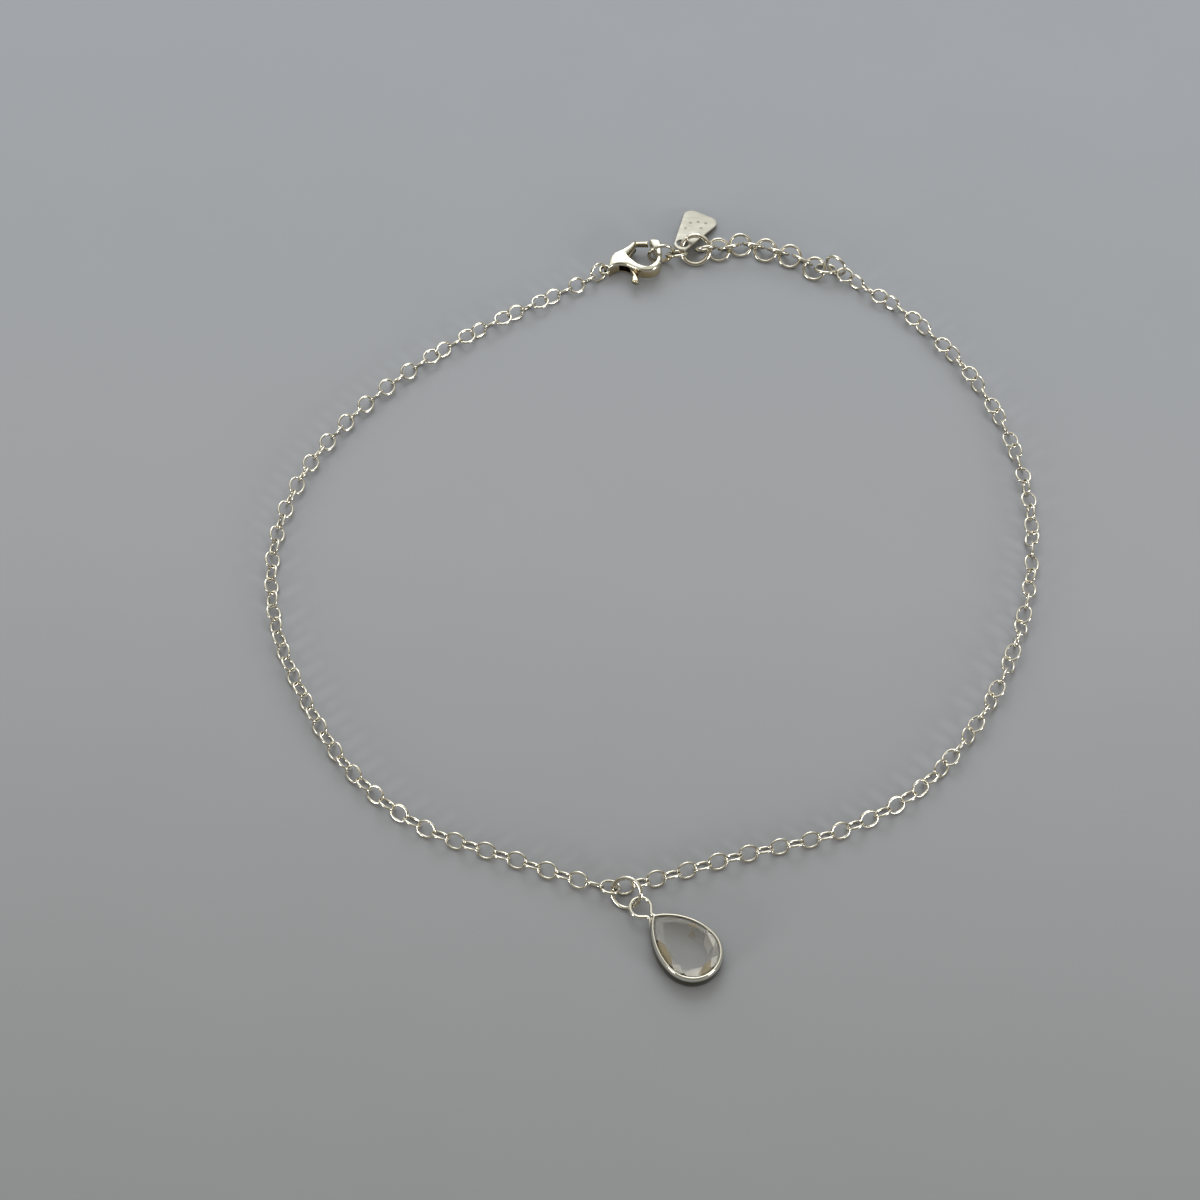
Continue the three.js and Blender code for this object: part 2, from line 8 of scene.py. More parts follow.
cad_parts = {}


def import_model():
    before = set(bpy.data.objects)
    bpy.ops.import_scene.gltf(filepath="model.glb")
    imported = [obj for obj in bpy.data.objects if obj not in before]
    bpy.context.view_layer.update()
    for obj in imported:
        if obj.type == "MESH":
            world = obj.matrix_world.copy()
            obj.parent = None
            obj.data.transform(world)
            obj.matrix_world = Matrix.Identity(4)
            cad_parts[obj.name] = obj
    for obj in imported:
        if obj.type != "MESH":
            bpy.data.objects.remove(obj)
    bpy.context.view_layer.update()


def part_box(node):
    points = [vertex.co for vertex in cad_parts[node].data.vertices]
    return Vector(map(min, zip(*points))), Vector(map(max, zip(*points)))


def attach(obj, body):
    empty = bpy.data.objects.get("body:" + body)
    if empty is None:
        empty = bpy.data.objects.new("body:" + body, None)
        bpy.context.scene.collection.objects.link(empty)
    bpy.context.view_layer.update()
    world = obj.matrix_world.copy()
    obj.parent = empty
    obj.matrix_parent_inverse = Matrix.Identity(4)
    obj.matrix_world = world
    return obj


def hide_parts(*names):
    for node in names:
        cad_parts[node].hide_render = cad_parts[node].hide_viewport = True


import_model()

MM = 0.001

# The same sizes as the part's source, in millimetres
LINK_COUNT = 137
LINKS_BEFORE_DROP = 69
LINK_PITCH = 1.695
LINK_WIDTH = 1.9
LINK_WIRE = 0.25
DROP_LINK_GAP = 0.19
EXTENSION_RING, EXTENSION_WIRE = 2.95, 0.36
HELD_RING, HELD_WIRE = 3.4, 0.38
TAG_RING, TAG_RING_WIRE = 4.0, 0.55
TAG_LENGTH, TAG_WIDTH, TAG_THICKNESS = 7.9, 4.3, 0.3
TAG_HOLE, TAG_HOLE_TO_TIP, TAG_CORNER, TAG_TIP = 1.4, 1.2, 1.15, 0.95
CLASP_LENGTH, CLASP_WIDTH, CLASP_THICKNESS = 7.0, 4.6, 1.8
CLASP_TAB, CLASP_EYE, CLASP_TAB_THICKNESS = 1.46, 0.88, 0.45
CLASP_RING, CLASP_RING_WIRE = 2.4, 0.3
LEVER_THICKNESS, LEVER_CLEARANCE, LEVER_BAR, LEVER_NUB = 0.7, 0.15, 0.45, 0.95
STONE_LENGTH, STONE_WIDTH, STONE_HEIGHT, STONE_GAP = 8.3, 5.9, 1.9, 0.08
BEZEL_WALL, BEZEL_HEIGHT, BEZEL_SEAT = 0.22, 1.9, 0.3
DROP_LOOP, DROP_LOOP_WIRE = 2.5, 0.34
DROP_RING, DROP_RING_WIRE = 3.5, 0.36
# Round wire is drawn a little thicker than the solids' faceted wire, as it looks in the photograph
FULLER_LINK, FULLER_RING = 1.12, 1.08
# The wire loop's swelling where its ends are soldered to the band, and where along it that starts and ends
SOLDER_SWELL, SOLDER_START, SOLDER_RUN = 0.14, -1.1, 1.4

ROUTE = [
    (-8.8, 36.5), (-12.4, 34.0), (-20.9, 28.5), (-28.7, 22.2), (-35.5, 14.7), (-40.6, 6.0),
    (-42.8, -3.8), (-41.5, -13.8), (-37.2, -22.9), (-31.4, -31.1), (-23.3, -37.1), (-13.7, -40.1),
    (-8.8, -41.5), (-3.6, -42.75), (1.1, -41.6), (10.6, -38.2), (20.3, -35.1), (28.8, -29.9),
    (35.2, -22.1), (39.7, -13.1), (42.3, -3.3), (42.8, 6.8), (40.8, 16.6), (36.3, 25.6),
    (29.7, 33.2), (25.6, 36.2), (20.9, 39.5),
]
FIRST_ROLL = 120
ROLLS = [(1, 90), (3, 120), (15, 90), (28, 91.2), (42, 90), (67, 120), (70, 90), (92, 61),
         (107, 93), (109, 121), (112, 93), (116, 121)]

# x, y, heading and lean of each ring that lies on the surface
EXTENSION = [
    (20.47, 39.76, 145, -85), (19.28, 39.67, 180, 30), (17.9, 39.5, 160, -35),
    (16.4, 40.5, 150, 55), (14.9, 41.2, 170, -35), (13.4, 41.6, 165, 55),
    (11.9, 41.9, 170, -35), (10.4, 42.3, 169, 56), (8.8, 42.5, 185, -35),
    (7.45, 41.9, 200, 55), (6.15, 41.6, 183.5, -35), (4.55, 41.4, 193, 60),
]
NEXT_RING_PLACE = (1.07, 40.56, 196, 40.5)
HELD_RING_PLACE = (-0.85, 39.88, 11, 90)
TAG_RING_PLACE = (3.3, 41.1, 0, 38)
TAG_ON_RING, TAG_HEADING = 160, 67
CLASP_X, CLASP_Y, CLASP_Z, CLASP_HEADING, CLASP_LIFT = -7.3, 38.3, 0.01, 11, 5
CLASP_RING_PLACE = (-8.35, 37.01, 43, 65)
DROP_X, DROP_Y, DROP_HEADING = 1.08, -45.85, -41.5
DROP_RING_PLACE = (-1.61, -43.37, -30.5, 38)

CLASP_OUTLINE = [
    (0, -0.235), (0.09, -0.18), (0.19, -0.15), (0.32, -0.215), (0.41, -0.325), (0.54, -0.45),
    (0.66, -0.51), (0.76, -0.51), (0.86, -0.43), (0.91, -0.33), (0.955, -0.14), (0.99, 0.3),
    (0.965, 0.44), (0.92, 0.48), (0.81, 0.5), (0.8, 0.42), (0.82, 0.27), (0.865, 0.12),
    (0.86, -0.13), (0.81, -0.25), (0.69, -0.34), (0.555, -0.24), (0.47, -0.09), (0.385, 0.125),
    (0.42, 0.2), (0.5, 0.31), (0.56, 0.44), (0.52, 0.52), (0.43, 0.42), (0.3, 0.325),
    (0.155, 0.24), (0.06, 0.06),
]
LEVER_PIVOT = (0.47, 0.36)
LEVER_NUB_AT = (0.43, -0.68)
LEVER_SHOULDER = (0.565, 0.53)
LEVER_GATE_END = (0.77, 0.478)


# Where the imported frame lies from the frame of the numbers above
def ring_height(outer, wire, lean):
    return (outer - wire) / 2 * abs(math.sin(math.radians(lean))) + wire / 2


low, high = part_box("tag_ring")
tag_ring_centre = (low + high) / 2 / MM
SHIFT = np.array([
    tag_ring_centre.x - TAG_RING_PLACE[0],
    tag_ring_centre.y - TAG_RING_PLACE[1],
    tag_ring_centre.z - ring_height(TAG_RING, TAG_RING_WIRE, TAG_RING_PLACE[3]),
])


# Camera: lens and sensor in millimetres, place in the frame of the numbers above, turns in radians

CAMERA_LENS, CAMERA_SENSOR = 66.43, 36
CAMERA_PLACE = (-5.99, -131.11, 214.3)
CAMERA_TILT, CAMERA_ROLL = 0.52103, 0.054733


def camera():
    data = bpy.data.cameras.new("camera")
    data.lens = CAMERA_LENS
    data.sensor_width = CAMERA_SENSOR
    data.clip_start = 0.01
    data.clip_end = 20
    data.dof.use_dof = False
    cam = bpy.data.objects.new("camera", data)
    bpy.context.collection.objects.link(cam)
    place = (np.array(CAMERA_PLACE) + SHIFT) * MM
    tilt = Matrix.Rotation(CAMERA_TILT, 4, "X")
    roll = Matrix.Rotation(CAMERA_ROLL, 4, "Z")
    cam.matrix_world = Matrix.Translation(place) @ tilt @ roll
    bpy.context.scene.camera = cam


camera()


# Materials

def node(tree, kind, at, **inputs):
    made = tree.nodes.new(kind)
    made.location = at
    for name, value in inputs.items():
        made.inputs[name.replace("_", " ")].default_value = value
    return made


def ramp(tree, at, stops):
    made = tree.nodes.new("ShaderNodeValToRGB")
    made.location = at
    elements = made.color_ramp.elements
    while len(elements) < len(stops):
        elements.new(0.5)
    for element, (position, colour) in zip(elements, stops):
        element.position = position
        element.color = (*colour, 1)
    return made


def silver(name, tone=(0.96, 0.945, 0.86), dull=(0.88, 0.855, 0.745), side=(0.50, 0.44, 0.31), low=0.0,
           high=0.40, smooth=0.10, rough=0.24, grain=900, stretch=(1, 1, 1), bump=0.0000030):
    """Silver: cream where it faces up, with brown painted shade and painted dark reflection on its sides, and
    painted shade in its corners.
    """
    material = bpy.data.materials.new(name)
    material.use_nodes = True
    tree = material.node_tree
    shader = tree.nodes["Principled BSDF"]
    shader.inputs["Metallic"].default_value = 1.0
    place = node(tree, "ShaderNodeTexCoord", (-1300, 0))
    mapping = node(tree, "ShaderNodeMapping", (-1120, 0))
    mapping.inputs["Scale"].default_value = stretch
    tree.links.new(place.outputs["Object"], mapping.inputs["Vector"])
    # broad cloudy dulling, as handled silver has
    cloud = node(tree, "ShaderNodeTexNoise", (-920, 200), Scale=grain, Detail=4.0, Roughness=0.6)
    # fine polishing marks
    marks = node(tree, "ShaderNodeTexNoise", (-920, -160), Scale=grain * 14, Detail=3.0, Roughness=0.7)
    for texture in (cloud, marks):
        tree.links.new(mapping.outputs["Vector"], texture.inputs["Vector"])
    colour = ramp(tree, (-700, 260), [(0.30, dull), (0.62, tone)])
    tree.links.new(cloud.outputs["Fac"], colour.inputs["Fac"])
    # how far the surface faces up
    facing = node(tree, "ShaderNodeSeparateXYZ", (-920, 560))
    shape = node(tree, "ShaderNodeNewGeometry", (-1120, 560))
    tree.links.new(shape.outputs["Normal"], facing.inputs["Vector"])
    upward = node(tree, "ShaderNodeMapRange", (-700, 560))
    upward.inputs["From Min"].default_value = low
    upward.inputs["From Max"].default_value = high
    tree.links.new(facing.outputs["Z"], upward.inputs["Value"])
    # corners and joints get painted shade from ambient occlusion
    corner = node(tree, "ShaderNodeAmbientOcclusion", (-700, 760), Distance=0.0006)
    corner.samples = 6
    corner_shade_ramp = ramp(tree, (-480, 760), [(0.14, (0.17, 0.14, 0.09)), (0.68, (1.0, 1.0, 1.0))])
    tree.links.new(corner.outputs["AO"], corner_shade_ramp.inputs["Fac"])
    # sides that face away from up get the side colour: painted shade and painted dark reflection of the room
    painted_side_shade = mixed(tree, (-480, 400), "MIX", upward.outputs["Result"], (*side, 1), colour.outputs["Color"])
    # faces marked lit keep the plain tone without the painted side shade; faces marked as the slot's inside
    # get a dark painted shade
    lit = attribute(tree, (-700, 960), "lit")
    plain = mixed(tree, (-260, 560), "MIX", lit, painted_side_shade, colour.outputs["Color"])
    with_corner_shade = mixed(tree, (-60, 400), "MULTIPLY", 1.0, plain, corner_shade_ramp.outputs["Color"])
    painted_slot_shade = attribute(tree, (-700, 1160), "painted_slot_shade")
    inside = mixed(tree, (140, 400), "MIX", painted_slot_shade, with_corner_shade, (0.19, 0.135, 0.07, 1))
    tree.links.new(inside, shader.inputs["Base Color"])
    shader.location = (380, 300)
    gloss = node(tree, "ShaderNodeMapRange", (-480, 0))
    gloss.inputs["From Min"].default_value = 0.3
    gloss.inputs["From Max"].default_value = 0.7
    gloss.inputs["To Min"].default_value = rough
    gloss.inputs["To Max"].default_value = smooth
    tree.links.new(cloud.outputs["Fac"], gloss.inputs["Value"])
    tree.links.new(gloss.outputs["Result"], shader.inputs["Roughness"])
    relief = node(tree, "ShaderNodeBump", (-260, -200), Strength=0.35, Distance=bump)
    tree.links.new(marks.outputs["Fac"], relief.inputs["Height"])
    tree.links.new(relief.outputs["Normal"], shader.inputs["Normal"])
    return material


def attribute(tree, at, name):
    """A mark that a mesh keeps on its faces; nothing where a mesh has no such mark."""
    made = tree.nodes.new("ShaderNodeAttribute")
    made.location = at
    made.attribute_name = name
    return made.outputs["Fac"]


def mark_faces(made, name, marked):
    """Marks the faces whose numbers are given."""
    layer = made.data.attributes.new(name, "FLOAT", "FACE")
    for number in marked:
        layer.data[number].value = 1.0


def mixed(tree, at, kind, factor, first, second):
    """A colour mix of values or of other nodes' outputs; gives its output."""
    made = tree.nodes.new("ShaderNodeMix")
    made.location = at
    made.data_type = "RGBA"
    made.blend_type = kind
    for socket, given in ((made.inputs[0], factor), (made.inputs[6], first), (made.inputs[7], second)):
        if isinstance(given, (int, float, tuple)):
            socket.default_value = given
        else:
            tree.links.new(given, socket)
    return made.outputs[2]


# each silver's side colour is painted shade for the surfaces that face sideways
CHAIN_SILVER = silver("chain_silver")
RING_SILVER = silver("ring_silver", smooth=0.08, rough=0.2, grain=700)
CLASP_SILVER = silver("clasp_silver", tone=(0.74, 0.735, 0.645), dull=(0.65, 0.64, 0.54),
                      side=(0.60, 0.49, 0.29), high=0.42, smooth=0.14, rough=0.30, grain=500, bump=0.000004)
DOT_SILVER = silver("dot_silver", tone=(0.42, 0.42, 0.35), dull=(0.30, 0.30, 0.24), smooth=0.45,
                    rough=0.6, grain=1500)
GATE_SILVER = silver("gate_silver", tone=(0.60, 0.56, 0.42), dull=(0.46, 0.42, 0.30),
                     side=(0.30, 0.26, 0.16), grain=500)
BEZEL_SILVER = silver("bezel_silver", tone=(0.93, 0.92, 0.84), side=(0.10, 0.085, 0.05), low=0.15,
                      high=0.50, smooth=0.07, rough=0.2, grain=450)
TAG_SILVER = silver("tag_silver", tone=(0.68, 0.68, 0.62), dull=(0.60, 0.60, 0.54), smooth=0.46,
                    rough=0.60, grain=500, stretch=(1, 3.5, 1), bump=0.000008)


# Colours of the painted reflections on single facets
PAINTED_FACET_REFLECTIONS = {"brown": (0.50, 0.44, 0.30, 1), "bright": (1.0, 1.0, 0.97, 1), "dark": (0.10, 0.09, 0.07, 1)}


def crystal():
    material = bpy.data.materials.new("crystal")
    material.use_nodes = True
    tree = material.node_tree
    shader = tree.nodes["Principled BSDF"]
    shader.inputs["IOR"].default_value = 1.5
    place = node(tree, "ShaderNodeTexCoord", (-900, 0))
    cloud = node(tree, "ShaderNodeTexNoise", (-700, 0), Scale=420.0, Detail=3.0, Roughness=0.6)
    tree.links.new(place.outputs["Object"], cloud.inputs["Vector"])
    gloss = node(tree, "ShaderNodeMapRange", (-480, 0))
    gloss.inputs["From Min"].default_value = 0.45
    gloss.inputs["From Max"].default_value = 0.75
    gloss.inputs["To Min"].default_value = 0.0
    gloss.inputs["To Max"].default_value = 0.05
    tree.links.new(cloud.outputs["Fac"], gloss.inputs["Value"])
    tree.links.new(gloss.outputs["Result"], shader.inputs["Roughness"])
    # the table and the culet are clear, the facets round them hold more reflections
    facet = attribute(tree, (-700, 300), "facet")
    solid = node(tree, "ShaderNodeMapRange", (-480, 300))
    solid.inputs["To Min"].default_value = 0.34
    solid.inputs["To Max"].default_value = 0.85
    tree.links.new(facet, solid.inputs["Value"])
    tree.links.new(solid.outputs["Result"], shader.inputs["Alpha"])
    # painted reflections: some facets are coloured with the room's brown, its window or its dark side
    colour = (0.99, 0.995, 1.0, 1)
    thrown = 0.0
    for step, (name, tone) in enumerate(PAINTED_FACET_REFLECTIONS.items()):
        mark = attribute(tree, (-1100, 500 + 200 * step), name)
        colour = mixed(tree, (-480 + 200 * step, 500 + 200 * step), "MIX", mark, colour, tone)
        total = tree.nodes.new("ShaderNodeMath")
        total.location = (-900, 500 + 200 * step)
        tree.links.new(mark, total.inputs[0])
        if step:
            tree.links.new(thrown, total.inputs[1])
        else:
            total.inputs[1].default_value = 0.0
        thrown = total.outputs["Value"]
    tree.links.new(colour, shader.inputs["Base Color"])
    through = node(tree, "ShaderNodeMapRange", (-480, 160))
    through.inputs["To Min"].default_value = 0.80
    through.inputs["To Max"].default_value = 0.40
    tree.links.new(thrown, through.inputs["Value"])
    tree.links.new(through.outputs["Result"], shader.inputs["Transmission Weight"])
    return material


# Mesh helpers. Places are in millimetres in the frame of the numbers above.

def piece(name, points, faces, material, node_names, body="anklet", smooth=True, turn=None):
    points = np.asarray(points, float)
    if turn is not None:
        points = points @ np.array(turn.to_3x3()).T + np.array(turn.translation)
    mesh = bpy.data.meshes.new(name)
    mesh.from_pydata(((points + SHIFT) * MM).tolist(), [], [list(face) for face in faces])
    mesh.update()
    tidy = bmesh.new()
    tidy.from_mesh(mesh)
    bmesh.ops.recalc_face_normals(tidy, faces=tidy.faces)
    tidy.to_mesh(mesh)
    tidy.free()
    if smooth:
        mesh.shade_smooth()
    mesh.materials.append(material)
    made = bpy.data.objects.new(name, mesh)
    bpy.context.collection.objects.link(made)
    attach(made, body)
    if node_names:
        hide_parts(*node_names)
    return made


def tube(centres, outward, upward, radius, sides=16, closed=True, first=0):
    """A round tube along centres, with two directions across it at each centre."""
    count = len(centres)
    angles = np.arange(sides) * 2 * math.pi / sides
    across = (np.cos(angles)[None, :, None] * outward[:, None, :]
              + np.sin(angles)[None, :, None] * upward[:, None, :])
    radius = np.broadcast_to(np.asarray(radius, float), (count,))
    points = (centres[:, None, :] + across * radius[:, None, None]).reshape(-1, 3)
    rows = np.arange(count if closed else count - 1)
    cols = np.arange(sides)
    a = rows[:, None] * sides + cols[None, :]
    b = rows[:, None] * sides + (cols[None, :] + 1) % sides
    after = (rows[:, None] + 1) % count
    c = after * sides + (cols[None, :] + 1) % sides
    d = after * sides + cols[None, :]
    faces = np.stack([a, b, c, d], -1).reshape(-1, 4) + first
    faces = faces.tolist()
    if not closed:
        faces.append((cols + first).tolist())
        faces.append((cols[::-1] + first + (count - 1) * sides).tolist())
    return points, faces


def path_tube(path, radius, sides=16, up=(0, 0, 1), first=0):
    """An open tube along a path that stays near level."""
    path = np.asarray(path, float)
    along = np.gradient(path, axis=0)
    along /= np.linalg.norm(along, axis=1)[:, None]
    side = np.cross(np.array(up, float), along)
    side /= np.linalg.norm(side, axis=1)[:, None]
    return tube(path, side, np.cross(along, side), radius, sides, closed=False, first=first)


def join(parts):
    """Joins (points, faces) pairs into one pair."""
    points, faces, first = [], [], 0
    for some, their in parts:
        points.append(np.asarray(some, float))
        faces.extend([[corner + first for corner in face] for face in their])
        first += len(some)
    return np.concatenate(points), faces


# Main chain

def catmull_rom(points, steps):
    points = np.asarray(points, float)
    before = 2 * points[0] - points[1]
    after = 2 * points[-1] - points[-2]
    ends = np.vstack([before, points, after])
    trail = []
    for index in range(len(points) - 1):
        p0, p1, p2, p3 = ends[index:index + 4]
        m1, m2 = (p2 - p0) / 2, (p3 - p1) / 2
        t = (np.arange(steps) / steps)[:, None]
        trail.append((2 * t**3 - 3 * t**2 + 1) * p1 + (t**3 - 2 * t**2 + t) * m1
                     + (-2 * t**3 + 3 * t**2) * p2 + (t**3 - t**2) * m2)
    trail.append(points[-1:])
    return np.concatenate(trail)


def joint_places():
    trail = list(catmull_rom([(x, y, 0) for x, y in ROUTE], 60))
    onward = trail[-1] - trail[-2]
    trail.append(trail[-1] + onward / np.linalg.norm(onward) * LINK_COUNT * LINK_PITCH)
    joints = [trail[0]]
    at = 1
    while len(joints) <= LINK_COUNT:
        start = joints[-1]
        while np.linalg.norm(trail[at] - start) < LINK_PITCH:
            at += 1
        low_end, high_end = trail[at - 1], trail[at]
        for _ in range(30):
            middle = (low_end + high_end) / 2
            if np.linalg.norm(middle - start) < LINK_PITCH:
                low_end = middle
            else:
                high_end = middle
        joints.append(high_end.copy())
    return joints


def link_frames():
    rolls = [FIRST_ROLL]
    for link in range(1, LINK_COUNT):
        step = [turn for start, turn in ROLLS if start <= link][-1]
        rolls.append(rolls[-1] + step)
    joints = joint_places()
    half = (LINK_WIDTH - LINK_WIRE) / 2
    heights = [half * abs(math.sin(math.radians(roll))) + LINK_WIRE / 2 for roll in rolls]
    for index, joint in enumerate(joints):
        joint[2] = max(heights[max(index - 1, 0)], heights[min(index, LINK_COUNT - 1)])
    joints[0][2] = joints[1][2]
    joints[-1][2] = joints[-2][2]
    frames = []
    for link, roll in enumerate(rolls):
        along = joints[link + 1] - joints[link]
        along /= np.linalg.norm(along)
        flat = np.array([-along[1], along[0], 0])
        flat /= np.linalg.norm(flat)
        upright = np.cross(along, flat)
        normal = upright * math.cos(math.radians(roll)) + flat * math.sin(math.radians(roll))
        frames.append([(joints[link] + joints[link + 1]) / 2, along, np.cross(normal, along), normal])
    for frame_at in frames[LINKS_BEFORE_DROP:]:
        frame_at[0] = frame_at[0] - frames[LINKS_BEFORE_DROP][1] * DROP_LINK_GAP
    return frames


LINK_STEPS = 44
LINK_SIDES = 14
chance = np.random.default_rng(7)


def oval_link(centre, along, side, normal):
    """One oval link of round wire, a little uneven as a soldered link is."""
    angle = np.arange(LINK_STEPS) * 2 * math.pi / LINK_STEPS
    long_half = LINK_PITCH / 2 + LINK_WIRE / 2
    wide_half = (LINK_WIDTH - LINK_WIRE) / 2
    power = 0.94
    x = long_half * np.sign(np.cos(angle)) * np.abs(np.cos(angle)) ** power
    y = wide_half * np.sign(np.sin(angle)) * np.abs(np.sin(angle)) ** power
    tangent = np.stack([np.roll(x, -1) - np.roll(x, 1), np.roll(y, -1) - np.roll(y, 1)], -1)
    tangent /= np.linalg.norm(tangent, axis=1)[:, None]
    centres = centre + x[:, None] * along + y[:, None] * side
    outward = tangent[:, 1:2] * along - tangent[:, 0:1] * side
    upward = np.broadcast_to(normal, centres.shape)
    # the soldered seam in one long side is a touch thicker than the wire
    seam = 1 + 0.07 * np.exp(-((angle - math.pi / 2) / 0.16) ** 2)
    return tube(centres, outward, upward, FULLER_LINK * LINK_WIRE / 2 * seam, LINK_SIDES)


def turned(frame_at):
    """The link's frame with a few degrees of its own roll and yaw."""
    centre, along, side, normal = frame_at
    roll, yaw = np.radians(chance.normal(0, 2.5)), np.radians(chance.normal(0, 1.2))
    side, normal = (side * math.cos(roll) + normal * math.sin(roll),
                    normal * math.cos(roll) - side * math.sin(roll))
    along, side = (along * math.cos(yaw) + side * math.sin(yaw),
                   side * math.cos(yaw) - along * math.sin(yaw))
    return centre, along, side, normal


def main_chain():
    links = [oval_link(*turned(frame_at)) for frame_at in link_frames()]
    for name, some in (("chain_left", links[:LINKS_BEFORE_DROP]), ("chain_right", links[LINKS_BEFORE_DROP:])):
        points, faces = join(some)
        piece("fine_" + name, points, faces, CHAIN_SILVER, [name])


main_chain()


# Rings

def ring_axes(heading, lean):
    h, l = math.radians(heading), math.radians(lean)
    level = np.array([math.cos(h), math.sin(h), 0])
    side = np.array([-level[1] * math.cos(l), level[0] * math.cos(l), math.sin(l)])
    return level, side, np.cross(level, side)


def ring_mesh(outer, wire, place, cut=None, gap=0.035, steps=72, sides=20):
    """A round ring, whole or with the hairline cut of a jump ring at an angle in degrees."""
    x, y, heading, lean = place
    level, side, normal = ring_axes(heading, lean)
    centre = np.array([x, y, ring_height(outer, wire, lean)])
    radius = (outer - wire) / 2
    if cut is None:
        angle = np.arange(steps) * 2 * math.pi / steps
    else:
        half = gap / radius / 2
        start = math.radians(cut)
        angle = start + np.linspace(half, 2 * math.pi - half, steps)
    outward = np.cos(angle)[:, None] * level + np.sin(angle)[:, None] * side
    upward = np.broadcast_to(normal, outward.shape)
    return tube(centre + radius * outward, outward, upward, FULLER_RING * wire / 2, sides, closed=cut is None)


def rings():
    for number, place in enumerate(EXTENSION, 1):
        name = f"extension_link_{number}"
        piece("fine_" + name, *ring_mesh(EXTENSION_RING, EXTENSION_WIRE, place), RING_SILVER, [name])
    for name, outer, wire, place, cut in (
            ("extension_link_13", EXTENSION_RING, EXTENSION_WIRE, NEXT_RING_PLACE, None),
            ("extension_link_14", HELD_RING, HELD_WIRE, HELD_RING_PLACE, 250),
            ("tag_ring", TAG_RING, TAG_RING_WIRE, TAG_RING_PLACE, 128),
            ("clasp_ring", CLASP_RING, CLASP_RING_WIRE, CLASP_RING_PLACE, 100),
            ("pendant_ring", DROP_RING, DROP_RING_WIRE, DROP_RING_PLACE, 215)):
        piece("fine_" + name, *ring_mesh(outer, wire, place, cut), RING_SILVER, [name])


rings()


# Flat work: an outline with a rounded edge, made as a filled curve

def smooth_closed(outline, steps=8):
    outline = np.asarray(outline, float)
    ends = np.vstack([outline[-1], outline, outline[0], outline[1]])
    out = []
    for index in range(len(outline)):
        p0, p1, p2, p3 = ends[index:index + 4]
        m1, m2 = (p2 - p0) / 2, (p3 - p1) / 2
        t = (np.arange(steps) / steps)[:, None]
        out.append((2 * t**3 - 3 * t**2 + 1) * p1 + (t**3 - 2 * t**2 + t) * m1
                   + (-2 * t**3 + 3 * t**2) * p2 + (t**3 - t**2) * m2)
    return np.concatenate(out)


def flat_work(outlines, thickness, edge, low_face=0.0):
    """Points and faces of a plate with rounded edges; later outlines are holes."""
    curve = bpy.data.curves.new("outline", "CURVE")
    curve.dimensions = "2D"
    curve.fill_mode = "BOTH"
    curve.extrude = thickness / 2 - edge
    curve.bevel_depth = edge
    curve.bevel_resolution = 3
    curve.offset = -edge
    for outline in outlines:
        spline = curve.splines.new("POLY")
        spline.points.add(len(outline) - 1)
        spline.use_cyclic_u = True
        for point, (x, y) in zip(spline.points, outline):
            point.co = (x, y, 0, 1)
    holder = bpy.data.objects.new("outline", curve)
    bpy.context.collection.objects.link(holder)
    deps = bpy.context.evaluated_depsgraph_get()
    mesh = bpy.data.meshes.new_from_object(holder.evaluated_get(deps))
    bpy.data.objects.remove(holder)
    bpy.data.curves.remove(curve)
    weld = bmesh.new()
    weld.from_mesh(mesh)
    bmesh.ops.remove_doubles(weld, verts=weld.verts, dist=1e-4)
    points = np.array([v.co for v in weld.verts]) + np.array([0, 0, low_face + thickness / 2])
    faces = [[v.index for v in face.verts] for face in weld.faces]
    weld.free()
    bpy.data.meshes.remove(mesh)
    return points, faces


def arc(centre, radius, start, end, steps):
    angle = np.linspace(start, end, steps)
    return np.stack([centre[0] + radius * np.cos(angle), centre[1] + radius * np.sin(angle)], -1)


def circle(centre, radius, steps=40):
    return arc(centre, radius, 0, 2 * math.pi, steps + 1)[:-1]


def sharp_edges(made, degrees=35):
    made.data.set_sharp_from_angle(angle=math.radians(degrees))


# Tag

TAG_EDGE = 0.09
# How far each dot lies from the hole along the tag and across it
TAG_DOTS = [(2.9, 0.9), (4.2, 0.75), (4.0, -0.75), (4.9, 0.0), (5.2, -0.9)]
# A dot's outline from its middle out: radius, and height above the tag's face
DOT_PROFILE = [(0.0, 0.004), (0.10, 0.006), (0.16, 0.010), (0.20, 0.004), (0.21, -0.01)]


